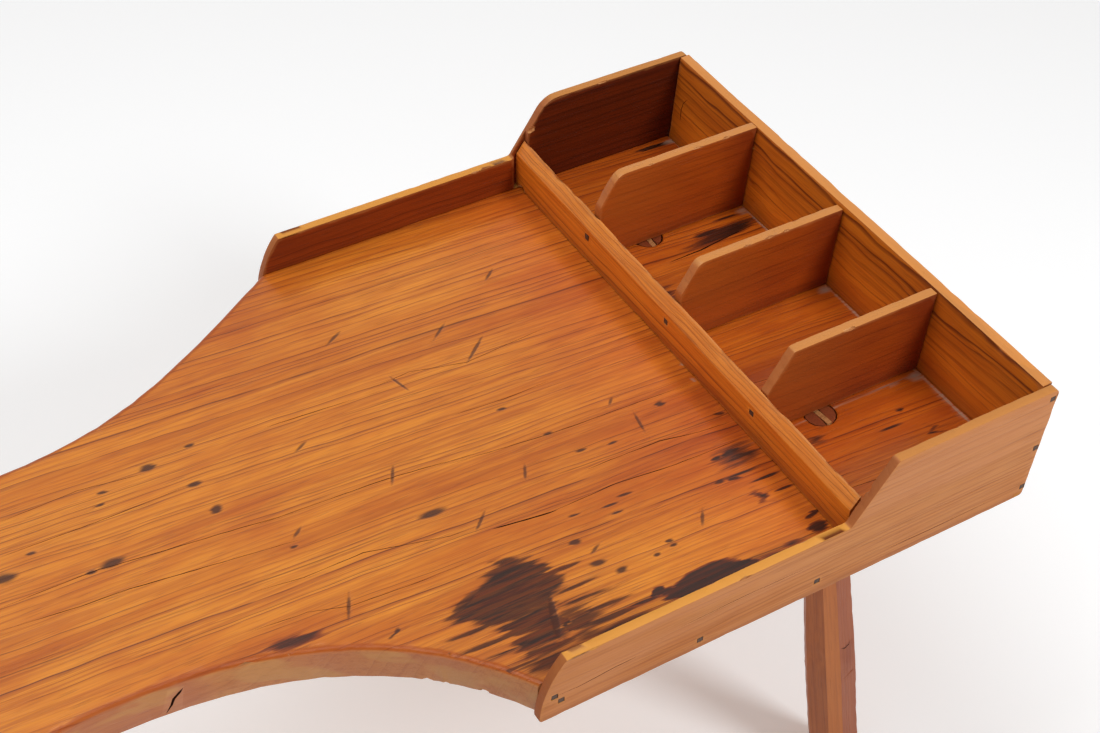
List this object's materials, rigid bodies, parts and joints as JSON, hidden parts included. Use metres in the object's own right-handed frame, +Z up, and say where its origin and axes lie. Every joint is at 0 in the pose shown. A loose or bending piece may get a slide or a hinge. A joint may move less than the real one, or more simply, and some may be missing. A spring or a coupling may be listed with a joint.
{
  "type": "cobblers bench",
  "caption": "Wooden cobbler's bench: waisted plank with a dished seat, low side boards and a partitioned tray at the work end, on splayed octagonal legs wedged through the plank.",
  "frame": {"origin": "on the floor, under the middle of the bench's bounding box", "axes": "+X from the seat to the tray, +Y to the left of someone who sits astride the seat, +Z up"},
  "size_m": [1.0939, 0.517, 0.5165],
  "materials": {
    "varnished_pine": "glossy varnish over honey-orange pine, worn",
    "side_board_pine": "thin worn varnish, satin",
    "tray_pine": "dark worn varnish, satin",
    "leg_wood": "red-brown stain over shaved wood, satin",
    "wedge_wood": "bare pale wood",
    "nail_iron": "dark, rusted"
  },
  "bodies": {
    "root": {"left_side_board": "side_board_pine", "leg_seat_left": "leg_wood", "leg_seat_right": "leg_wood", "leg_tray_left": "leg_wood", "leg_tray_right": "leg_wood", "nail_end_board_1": "nail_iron", "nail_end_board_2": "nail_iron", "nail_end_board_3": "nail_iron", "nail_end_board_4": "nail_iron", "nail_left_board_1": "nail_iron", "nail_left_board_2": "nail_iron", "nail_left_board_3": "nail_iron", "nail_left_corner_1": "nail_iron", "nail_left_corner_2": "nail_iron", "nail_left_corner_3": "nail_iron", "nail_partition_left_1": "nail_iron", "nail_partition_left_2": "nail_iron", "nail_partition_middle_1": "nail_iron", "nail_partition_middle_2": "nail_iron", "nail_partition_right_1": "nail_iron", "nail_partition_right_2": "nail_iron", "nail_rail_partition_left": "nail_iron", "nail_rail_partition_middle": "nail_iron", "nail_rail_partition_right": "nail_iron", "nail_right_board_1": "nail_iron", "nail_right_board_2": "nail_iron", "nail_right_board_3": "nail_iron", "nail_right_board_4": "nail_iron", "nail_right_corner_1": "nail_iron", "nail_right_corner_2": "nail_iron", "nail_right_corner_3": "nail_iron", "partition_left": "tray_pine", "partition_middle": "tray_pine", "partition_right": "tray_pine", "plank": "varnished_pine", "right_side_board": "side_board_pine", "tray_end_board": "tray_pine", "tray_front_rail": "varnished_pine", "wedge_seat_left": "wedge_wood", "wedge_seat_right": "wedge_wood", "wedge_tray_left": "wedge_wood", "wedge_tray_right": "wedge_wood"}
  },
  "joints": []
}
